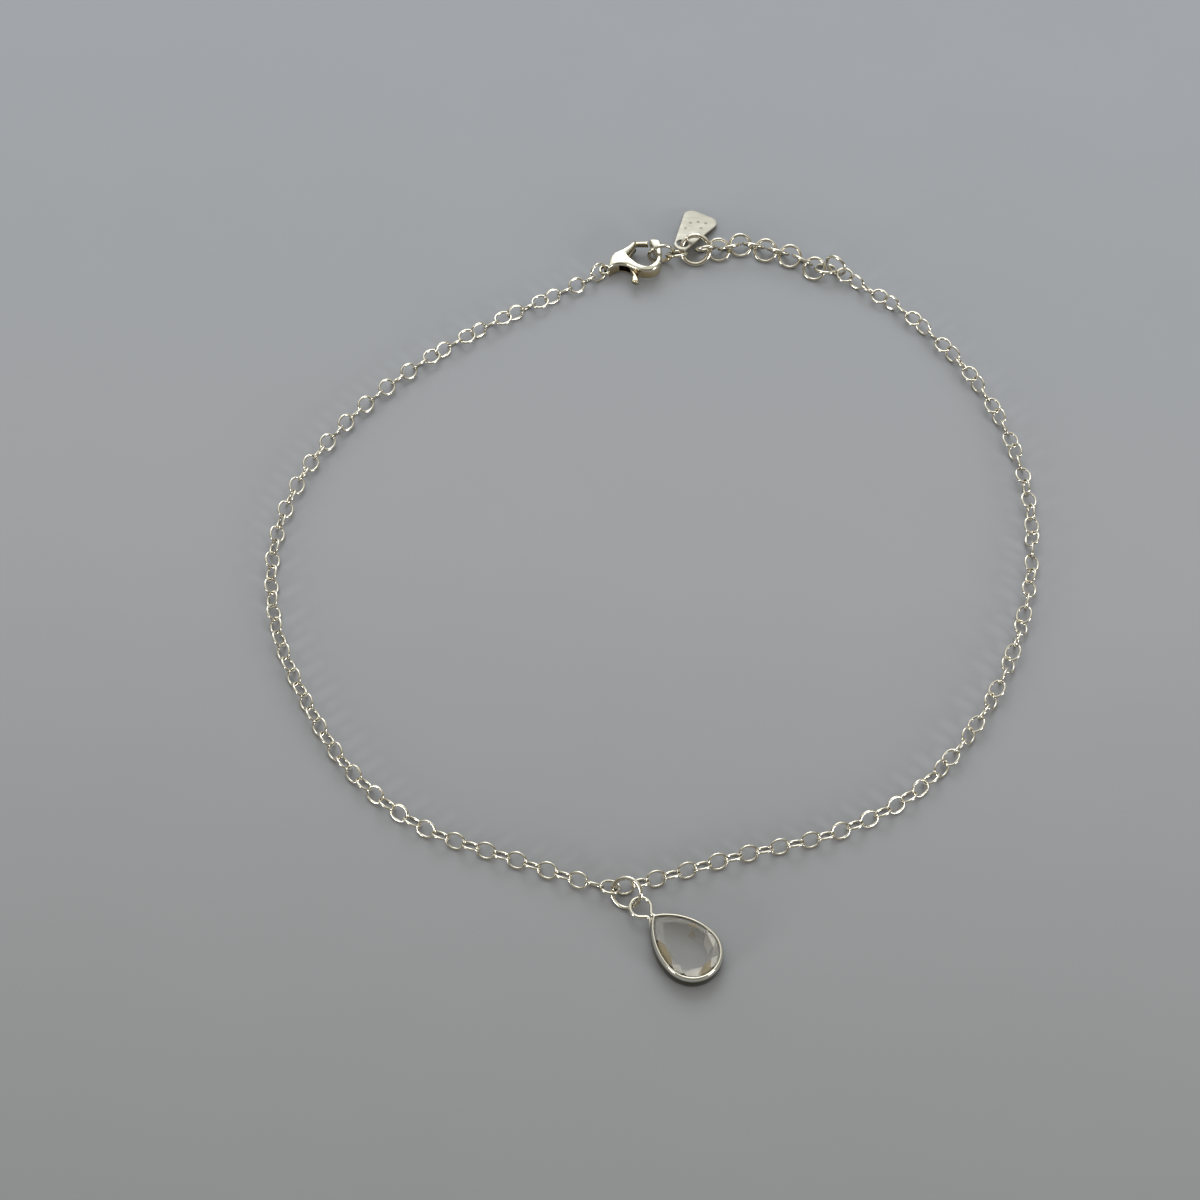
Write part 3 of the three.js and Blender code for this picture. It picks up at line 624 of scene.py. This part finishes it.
def tag():
    across = TAG_WIDTH / 2 - TAG_CORNER
    along = TAG_LENGTH - TAG_HOLE_TO_TIP - TAG_CORNER
    tip_at = TAG_TIP - TAG_HOLE_TO_TIP
    slant = math.hypot(along - tip_at, across)
    turn_at = math.atan2(across, along - tip_at) + math.acos((TAG_TIP - TAG_CORNER) / slant)
    outline = np.concatenate([
        arc((along, -across), TAG_CORNER, -turn_at, 0, 24),
        arc((along, across), TAG_CORNER, 0, turn_at, 24),
        arc((tip_at, 0), TAG_TIP, turn_at, 2 * math.pi - turn_at, 24),
    ])
    outlines = [outline, circle((0, 0), TAG_HOLE / 2)]
    points, faces = flat_work(outlines, TAG_THICKNESS, TAG_EDGE, -TAG_THICKNESS / 2)
    level, side, _ = ring_axes(*TAG_RING_PLACE[2:])
    radius = (TAG_RING - TAG_RING_WIRE) / 2
    x, y, _, lean = TAG_RING_PLACE
    hole = np.array([x, y, ring_height(TAG_RING, TAG_RING_WIRE, lean)])
    hole = hole + level * radius * math.cos(math.radians(TAG_ON_RING))
    hole = hole + side * radius * math.sin(math.radians(TAG_ON_RING))
    drop = math.asin((hole[2] - TAG_THICKNESS / 2) / (TAG_LENGTH - TAG_HOLE_TO_TIP))
    heading = Matrix.Rotation(math.radians(TAG_HEADING), 4, "Z")
    turn = Matrix.Translation(hole) @ heading @ Matrix.Rotation(drop, 4, "Y")
    made = piece("fine_tag", points, faces, TAG_SILVER, ["tag"], turn=turn)
    sharp_edges(made, 50)
    # a few plain round dots where the real tag has its stamp
    rim = [(radius_at, TAG_THICKNESS / 2 + height) for radius_at, height in DOT_PROFILE]
    dots = [turned_profile(rim, place, 20) for place in TAG_DOTS]
    piece("tag_dots", *join(dots), DOT_SILVER, [], turn=turn)


def turned_profile(profile, centre, steps):
    """A round form from (radius, height) pairs about an upright axis."""
    points = []
    for radius, height in profile:
        for step in range(steps):
            angle = step * 2 * math.pi / steps
            x, y = radius * math.cos(angle), radius * math.sin(angle)
            points.append((centre[0] + x, centre[1] + y, height))
    faces = []
    for row in range(len(profile) - 1):
        for step in range(steps):
            after = (step + 1) % steps
            below, above = row * steps, (row + 1) * steps
            faces.append([below + step, below + after, above + after, above + step])
    return points, faces


tag()


# Clasp

CLASP_TURN = (Matrix.Translation((CLASP_X, CLASP_Y, CLASP_Z))
              @ Matrix.Rotation(math.radians(CLASP_HEADING), 4, "Z")
              @ Matrix.Rotation(math.radians(-CLASP_LIFT), 4, "Y"))


def on_clasp(point):
    return np.array([point[0] * CLASP_LENGTH, point[1] * CLASP_WIDTH])


# The body's edge is rounded by this much over the face, and by this many times more down the wall
CLASP_EDGE, CLASP_EDGE_TALL = 0.20, 2.6
CLASP_EYE_AT, CLASP_EYE_EDGE = (-0.35, -0.15 * CLASP_WIDTH), 0.12
# The lever's slot, in shares of the clasp's length and width
SLOT_CORNERS = [(0.17, -0.60), (0.50, -0.60), (0.50, 0.00), (0.62, 0.60), (0.40, 0.60), (0.30, 0.22),
                (0.22, 0.14)]
# Faces of the slot lie further in than this and face up or down more than this
SLOT_INSIDE, SLOT_LEVEL = 0.3, 0.7


def clasp_body():
    outline = smooth_closed([on_clasp(point) for point in CLASP_OUTLINE])
    points, faces = flat_work([outline], CLASP_THICKNESS / CLASP_EDGE_TALL, CLASP_EDGE)
    body = (points * np.array([1, 1, CLASP_EDGE_TALL]), faces)
    eye = flat_work([circle(CLASP_EYE_AT, CLASP_TAB / 2), circle(CLASP_EYE_AT, CLASP_EYE / 2)],
                    CLASP_TAB_THICKNESS, CLASP_EYE_EDGE, (CLASP_THICKNESS - CLASP_TAB_THICKNESS) / 2)
    made = piece("fine_clasp_body", *body, CLASP_SILVER, ["clasp_body"], turn=CLASP_TURN)
    cut_slot(made)
    mark_slot(made)
    sharp_edges(made)
    part = piece("clasp_eye", *eye, CLASP_SILVER, [], turn=CLASP_TURN)
    sharp_edges(part, 50)


def cut_slot(made):
    """Cuts the lever's slot through the body."""
    slot = LEVER_THICKNESS + 2 * LEVER_CLEARANCE
    outline = np.array([on_clasp(corner) for corner in SLOT_CORNERS])
    low_face = (CLASP_THICKNESS - slot) / 2
    points = [(x, y, z) for z in (low_face, low_face + slot) for x, y in outline]
    count = len(SLOT_CORNERS)
    faces = [list(range(count))[::-1], list(range(count, 2 * count))]
    faces += [[i, (i + 1) % count, (i + 1) % count + count, i + count] for i in range(count)]
    points = np.array(points) @ np.array(CLASP_TURN.to_3x3()).T + np.array(CLASP_TURN.translation)
    mesh = bpy.data.meshes.new("slot")
    mesh.from_pydata(((points + SHIFT) * MM).tolist(), [], faces)
    cutter = bpy.data.objects.new("slot", mesh)
    bpy.context.collection.objects.link(cutter)
    cut = made.modifiers.new("slot", "BOOLEAN")
    cut.operation = "DIFFERENCE"
    cut.solver = "EXACT"
    cut.object = cutter
    deps = bpy.context.evaluated_depsgraph_get()
    result = bpy.data.meshes.new_from_object(made.evaluated_get(deps))
    made.modifiers.remove(cut)
    made.data = result
    bpy.data.objects.remove(cutter)
    bpy.data.meshes.remove(mesh)


def mark_slot(made):
    """Marks the faces inside the slot, which get painted shade."""
    turned_back = np.array(CLASP_TURN.inverted().to_3x3())
    marked = []
    for face in made.data.polygons:
        place = turned_back @ (np.array(face.center) / MM - SHIFT - np.array(CLASP_TURN.translation))
        upward = abs((turned_back @ np.array(face.normal))[2])
        if SLOT_INSIDE < place[2] < CLASP_THICKNESS - SLOT_INSIDE and upward > SLOT_LEVEL:
            marked.append(face.index)
    mark_faces(made, "painted_slot_shade", marked)


def clasp_lever():
    pivot = on_clasp(LEVER_PIVOT)
    nub = on_clasp(LEVER_NUB_AT) - pivot
    shoulder = on_clasp(LEVER_SHOULDER) - pivot
    gate = on_clasp(LEVER_GATE_END) - pivot
    bar = LEVER_BAR / 2

    def aside(vector, length):
        return np.array([-vector[1], vector[0]]) / np.linalg.norm(vector) * length

    def reach(vector, length):
        return vector / np.linalg.norm(vector) * length

    # the arm bends round the corner of the claw's opening
    knee = on_clasp((0.345, 0.03)) - pivot
    arm = np.linalg.norm(nub)
    along = reach(gate - shoulder, bar)
    upper = aside(along, bar)
    corners = [
        gate - upper, gate - 0.02 * along, gate + upper, shoulder + upper, shoulder + upper - 0.9 * along,
        shoulder - 1.1 * along + 0.2 * upper, np.array([-1.3 * bar, 0.8 * bar]),
        knee - np.array([0.85 * bar, 0]),
        reach(nub, arm - LEVER_NUB) - aside(nub, 0.8 * bar),
        reach(nub, arm - 0.3 * LEVER_NUB) - aside(nub, 0.36 * LEVER_NUB),
        reach(nub, arm) - aside(nub, 0.42 * LEVER_NUB),
        reach(nub, arm + LEVER_NUB / 4),
        reach(nub, arm) + aside(nub, 0.42 * LEVER_NUB),
        reach(nub, arm - 0.3 * LEVER_NUB) + aside(nub, 0.36 * LEVER_NUB),
        reach(nub, arm - LEVER_NUB) + aside(nub, 0.8 * bar),
        knee + np.array([0.85 * bar, 0]), np.array([1.2 * bar, -0.9 * bar]), shoulder - upper + 0.3 * along,
    ]
    outline = []
    for index, corner in enumerate(corners):
        following = corners[(index + 1) % len(corners)]
        outline += [corner, corner + (following - corner) * 0.5]
    outline = smooth_closed(outline[::-1], 4) + pivot
    low_face = (CLASP_THICKNESS - LEVER_THICKNESS) / 2
    plate = flat_work([outline], LEVER_THICKNESS, 0.12, low_face)
    # the thumb piece ends in two rounded lobes and the gate starts at a round knob
    middle = CLASP_THICKNESS / 2
    lobes = []
    for at, wide, tall, lift in ((nub - aside(nub, 0.22) - reach(nub, 0.12), 0.25, 0.36, 0),
                                 (nub + aside(nub, 0.22) + reach(nub, 0.1), 0.25, 0.36, 0),
                                 (shoulder - 0.9 * along, 0.31, 0.62, 0.0)):
        profile = []
        for step in np.linspace(0, math.pi, 13):
            profile.append((wide * math.sin(step), -tall * math.cos(step) + middle + lift))
        lobes.append(turned_profile(profile, pivot + at, 24))
    points, faces = join([plate] + lobes)
    made = piece("fine_clasp_lever", points, faces, GATE_SILVER, ["clasp_lever"], body="clasp_lever",
                 turn=CLASP_TURN)
    sharp_edges(made, 50)


clasp_body()
clasp_lever()


# Drop

DROP_TURN = Matrix.Translation((DROP_X, DROP_Y, 0)) @ Matrix.Rotation(math.radians(DROP_HEADING), 4, "Z")


def pear_half_width(from_tip, length, width):
    radius = width / 2
    centre = length - radius
    round_end = radius * np.sqrt(np.clip(1 - ((from_tip - centre) / radius) ** 2, 0, None))
    pointed = radius * np.clip(1 - ((centre - from_tip) / centre) ** 2, 0, None) ** 0.8
    return np.where(from_tip > centre, round_end, pointed)


def pear_row(inset, height, steps=72):
    """A closed row of places round the pear, set in from its outside."""
    gap = STONE_GAP + BEZEL_WALL
    length = STONE_LENGTH + 2 * gap - 2 * inset
    width = STONE_WIDTH + 2 * gap - 2 * inset
    share = (1 - np.cos(np.linspace(0, math.pi, steps + 1))) / 2
    x = share * length
    y = pear_half_width(x, length, width)
    upper = np.stack([x + inset, y, np.full_like(x, height)], -1)
    lower = np.stack([x + inset, -y, np.full_like(x, height)], -1)[1:-1][::-1]
    return np.concatenate([upper, lower])


# The band's rows from this one on lie on its lip and inside wall
FIRST_INNER_ROW = 13


def bezel():
    """A thin band with a burnished lip over the stone and a ledge under it."""
    wall, top = BEZEL_WALL, BEZEL_HEIGHT
    ledge = STONE_GAP + BEZEL_WALL + BEZEL_SEAT
    # how far in from the outside each row lies, and how high
    profile = [
        (0.14, 0.0), (0.10, 0.02), (0.06, 0.10), (0.02, 0.4), (0.0, 0.8), (0.004, top - 0.62),
        (0.03, top - 0.44), (0.075, top - 0.32), (0.125, top - 0.22), (0.17, top - 0.13),
        (0.215, top - 0.055), (0.265, top - 0.012), (0.33, top), (0.40, top - 0.02), (0.435, top - 0.07),
        (0.42, top - 0.12), (wall + 0.02, top - 0.22), (wall, top - 0.26), (wall, BEZEL_SEAT + 0.02),
        (wall + 0.02, BEZEL_SEAT), (ledge - 0.03, BEZEL_SEAT), (ledge, BEZEL_SEAT - 0.03),
        (ledge, 0.03), (ledge - 0.03, 0.0),
    ]
    rows = [pear_row(inset, height) for inset, height in profile]
    count = len(rows[0])
    inner = list(range(FIRST_INNER_ROW * count, len(rows) * count))
    faces = []
    for row in range(len(rows)):
        below, above = row * count, (row + 1) % len(rows) * count
        for step in range(count):
            after = (step + 1) % count
            faces.append([below + step, below + after, above + after, above + step])
    return np.concatenate(rows), faces, inner


def drop_loop():
    """The soldered wire loop, its two ends running into the tip of the band."""
    centre = -DROP_LOOP / 2 - 0.3
    radius = (DROP_LOOP - DROP_LOOP_WIRE) / 2
    half = [(0.85, 0.97), (0.5, 0.66), (0.2, 0.40), (-0.08, 0.27), (-0.34, 0.32)]
    turn = arc((centre, 0), radius, math.radians(38), math.radians(322), 13)
    guide = half + [tuple(point) for point in turn] + [(x, -y) for x, y in reversed(half)]
    guide = [(x, y, BEZEL_HEIGHT / 2) for x, y in guide]
    path = catmull_rom(guide, 6)
    # the wire thickens where its ends are soldered to the band
    near = np.clip((path[:, 0] - SOLDER_START) / SOLDER_RUN, 0, 1)
    return path_tube(path, DROP_LOOP_WIRE / 2 * (FULLER_RING + SOLDER_SWELL * near), 18)


def drop_metal():
    band, band_faces, inner = bezel()
    points, faces = join([(band, band_faces), drop_loop()])
    made = piece("fine_pendant_bezel", points, faces, BEZEL_SILVER, ["pendant_bezel"], turn=DROP_TURN)
    # the inside wall and the wire loop keep the plain bright tone, without the painted side shade
    mark_faces(made, "lit", inner + list(range(len(band_faces), len(faces))))
    sharp_edges(made, 60)


def stone_row(share, height, count, turn=0.0):
    """A row of facet corners round the pear, evenly spaced along its girdle."""
    fine = pear_row(STONE_GAP + BEZEL_WALL, 0, 160)[:, :2]
    closed = np.vstack([fine, fine[:1]])
    run = np.concatenate([[0], np.cumsum(np.linalg.norm(np.diff(closed, axis=0), axis=1))])
    want = (np.arange(count) + turn) / count * run[-1]
    x = np.interp(want, run, closed[:, 0])
    y = np.interp(want, run, closed[:, 1])
    middle = np.array([STONE_GAP + BEZEL_WALL + STONE_LENGTH - STONE_WIDTH / 2 - 0.25, 0])
    flat = middle + (np.stack([x, y], -1) - middle) * share
    return np.concatenate([flat, np.full((count, 1), height)], 1)


def stone():
    """A cut pear: table, star and main facets, girdle, and the same below it."""
    count = 13
    low_face = BEZEL_SEAT + STONE_GAP
    levels = [
        stone_row(0.60, low_face, count, 0.0),
        stone_row(0.82, low_face + 0.30, count, 0.5),
        stone_row(0.995, low_face + 0.92, 2 * count, 0.0),
        stone_row(0.995, low_face + 1.06, 2 * count, 0.0),
        stone_row(0.88, low_face + 1.58, count, 0.5),
        stone_row(0.74, low_face + STONE_HEIGHT, count, 0.0),
    ]
    points = np.concatenate(levels)
    start = np.cumsum([0] + [len(level) for level in levels])
    faces = [list(range(start[5], start[6])), list(range(start[0], start[1]))[::-1]]
    for step in range(2 * count):
        after = (step + 1) % (2 * count)
        faces.append([start[2] + step, start[2] + after, start[3] + after, start[3] + step])
    for table, star, girdle in ((5, 4, 3), (0, 1, 2)):
        for step in range(count):
            after = (step + 1) % count
            faces.append([start[table] + step, start[table] + after, start[star] + step])
            corner = start[star] + step
            edge, past_edge = start[girdle] + 2 * step, start[girdle] + 2 * after
            faces.append([corner, start[table] + after, start[star] + after, past_edge])
            faces.append([corner, past_edge, edge + 1])
            faces.append([corner, edge + 1, edge])
    made = piece("fine_pendant_stone", points, faces, crystal(), ["pendant_stone"], smooth=False,
                 turn=DROP_TURN)
    mark_faces(made, "facet", range(2, len(faces)))
    # facets are counted round from the tip by way of the far side: 6 and 7 are at the round end
    above = 2 + 2 * count
    below = above + 4 * count
    # painted reflections: which facets get the brown, bright and dark colours
    tones = {
        "brown": [(10, 0), (10, 1), (10, 2), (10, 3), (9, 1), (6, 0), (6, 1), (6, 2), (2, 0)],
        "bright": [(7, 0), (7, 1), (7, 2), (5, 1), (5, 2), (3, 1), (4, 0), (8, 1)],
        "dark": [(8, 2), (8, 3), (9, 2), (9, 3), (11, 3), (6, 3)],
    }
    for name, places in tones.items():
        mark_faces(made, name, [first + 4 * step + part for first in (above, below) for step, part in places])


drop_metal()
stone()


# Floor, world and lights

# painted light fall-off of the floor, from front to back
PAINTED_FLOOR_FALLOFF = [(0.0, (0.362, 0.382, 0.415)), (0.5, (0.468, 0.492, 0.553)), (1.0, (0.478, 0.524, 0.602))]


# The floor's half width, and how far each way from the middle its painted light fall-off runs, in metres
FLOOR_SIZE, FLOOR_TONE_REACH = 3.0, 0.075


def floor():
    mesh = bpy.data.meshes.new("floor")
    corners = [(x * FLOOR_SIZE, y * FLOOR_SIZE, 0) for x, y in ((-1, -1), (1, -1), (1, 1), (-1, 1))]
    mesh.from_pydata(corners, [], [[0, 1, 2, 3]])
    material = bpy.data.materials.new("floor_paper")
    material.use_nodes = True
    tree = material.node_tree
    shader = tree.nodes["Principled BSDF"]
    shader.inputs["Roughness"].default_value = 0.75
    shader.inputs["Specular IOR Level"].default_value = 0.15
    place = node(tree, "ShaderNodeTexCoord", (-1100, 0))
    fine = node(tree, "ShaderNodeTexNoise", (-900, 0), Scale=60.0, Detail=5.0, Roughness=0.6)
    tree.links.new(place.outputs["Object"], fine.inputs["Vector"])
    # painted light fall-off: the paper is painted cooler and lighter at the back; its tone wanders a little
    split = node(tree, "ShaderNodeSeparateXYZ", (-900, 260))
    tree.links.new(place.outputs["Object"], split.inputs["Vector"])
    back = node(tree, "ShaderNodeMapRange", (-700, 260))
    back.inputs["From Min"].default_value = -FLOOR_TONE_REACH
    back.inputs["From Max"].default_value = FLOOR_TONE_REACH
    tree.links.new(split.outputs["Y"], back.inputs["Value"])
    depth = ramp(tree, (-480, 260), PAINTED_FLOOR_FALLOFF)
    tree.links.new(back.outputs["Result"], depth.inputs["Fac"])
    grain = ramp(tree, (-480, 0), [(0.2, (0.975, 0.975, 0.975)), (0.8, (1.0, 1.0, 1.0))])
    tree.links.new(fine.outputs["Fac"], grain.inputs["Fac"])
    tone = mixed(tree, (-240, 120), "MULTIPLY", 1.0, depth.outputs["Color"], grain.outputs["Color"])
    tree.links.new(tone, shader.inputs["Base Color"])
    mesh.materials.append(material)
    made = bpy.data.objects.new("floor", mesh)
    bpy.context.collection.objects.link(made)


# The way to the room's brightest side, and its tones from the dark side to that one
ROOM_BRIGHT_WAY = (-0.08, 0.55, 0.83)
ROOM_TONES = [(0.0, (0.12, 0.10, 0.07)), (0.47, (0.22, 0.19, 0.14)), (0.66, (0.52, 0.50, 0.45)),
              (0.85, (0.78, 0.77, 0.71)), (1.0, (0.82, 0.81, 0.75))]


def world():
    """A plain room: pale above and behind the anklet, brown and dark on the viewer's side."""
    made = bpy.data.worlds.new("room")
    bpy.context.scene.world = made
    made.use_nodes = True
    tree = made.node_tree
    background = tree.nodes["Background"]
    place = node(tree, "ShaderNodeTexCoord", (-900, 0))
    toward = node(tree, "ShaderNodeVectorMath", (-700, 0))
    toward.operation = "DOT_PRODUCT"
    toward.inputs[1].default_value = ROOM_BRIGHT_WAY
    tree.links.new(place.outputs["Generated"], toward.inputs[0])
    sky = ramp(tree, (-480, 0), ROOM_TONES)
    tree.links.new(toward.outputs["Value"], sky.inputs["Fac"])
    tree.links.new(sky.outputs["Color"], background.inputs["Color"])
    background.inputs["Strength"].default_value = 1.0


# Name, place in metres, size in metres, power in watts and colour of each light
LIGHTS = [
    ("key", (-0.10, 0.95, 0.85), (0.8, 0.6), 4.0, (1.0, 0.995, 0.97)),
    ("right", (0.75, -0.50, 0.24), (0.30, 0.26), 2.6, (1.0, 0.98, 0.93)),
    ("left", (-0.72, -0.62, 0.22), (0.26, 0.24), 2.3, (1.0, 0.97, 0.9)),
]


def area_light(name, at, size, power, colour):
    """A light that shines at the middle of the anklet."""
    data = bpy.data.lights.new(name, "AREA")
    data.shape = "RECTANGLE"
    data.size, data.size_y = size
    data.energy = power
    data.color = colour
    made = bpy.data.objects.new(name, data)
    bpy.context.collection.objects.link(made)
    made.location = at
    made.rotation_euler = (-Vector(at)).to_track_quat("-Z", "Y").to_euler()


floor()
world()
for light in LIGHTS:
    area_light(*light)
bpy.context.scene.view_settings.view_transform = "Standard"
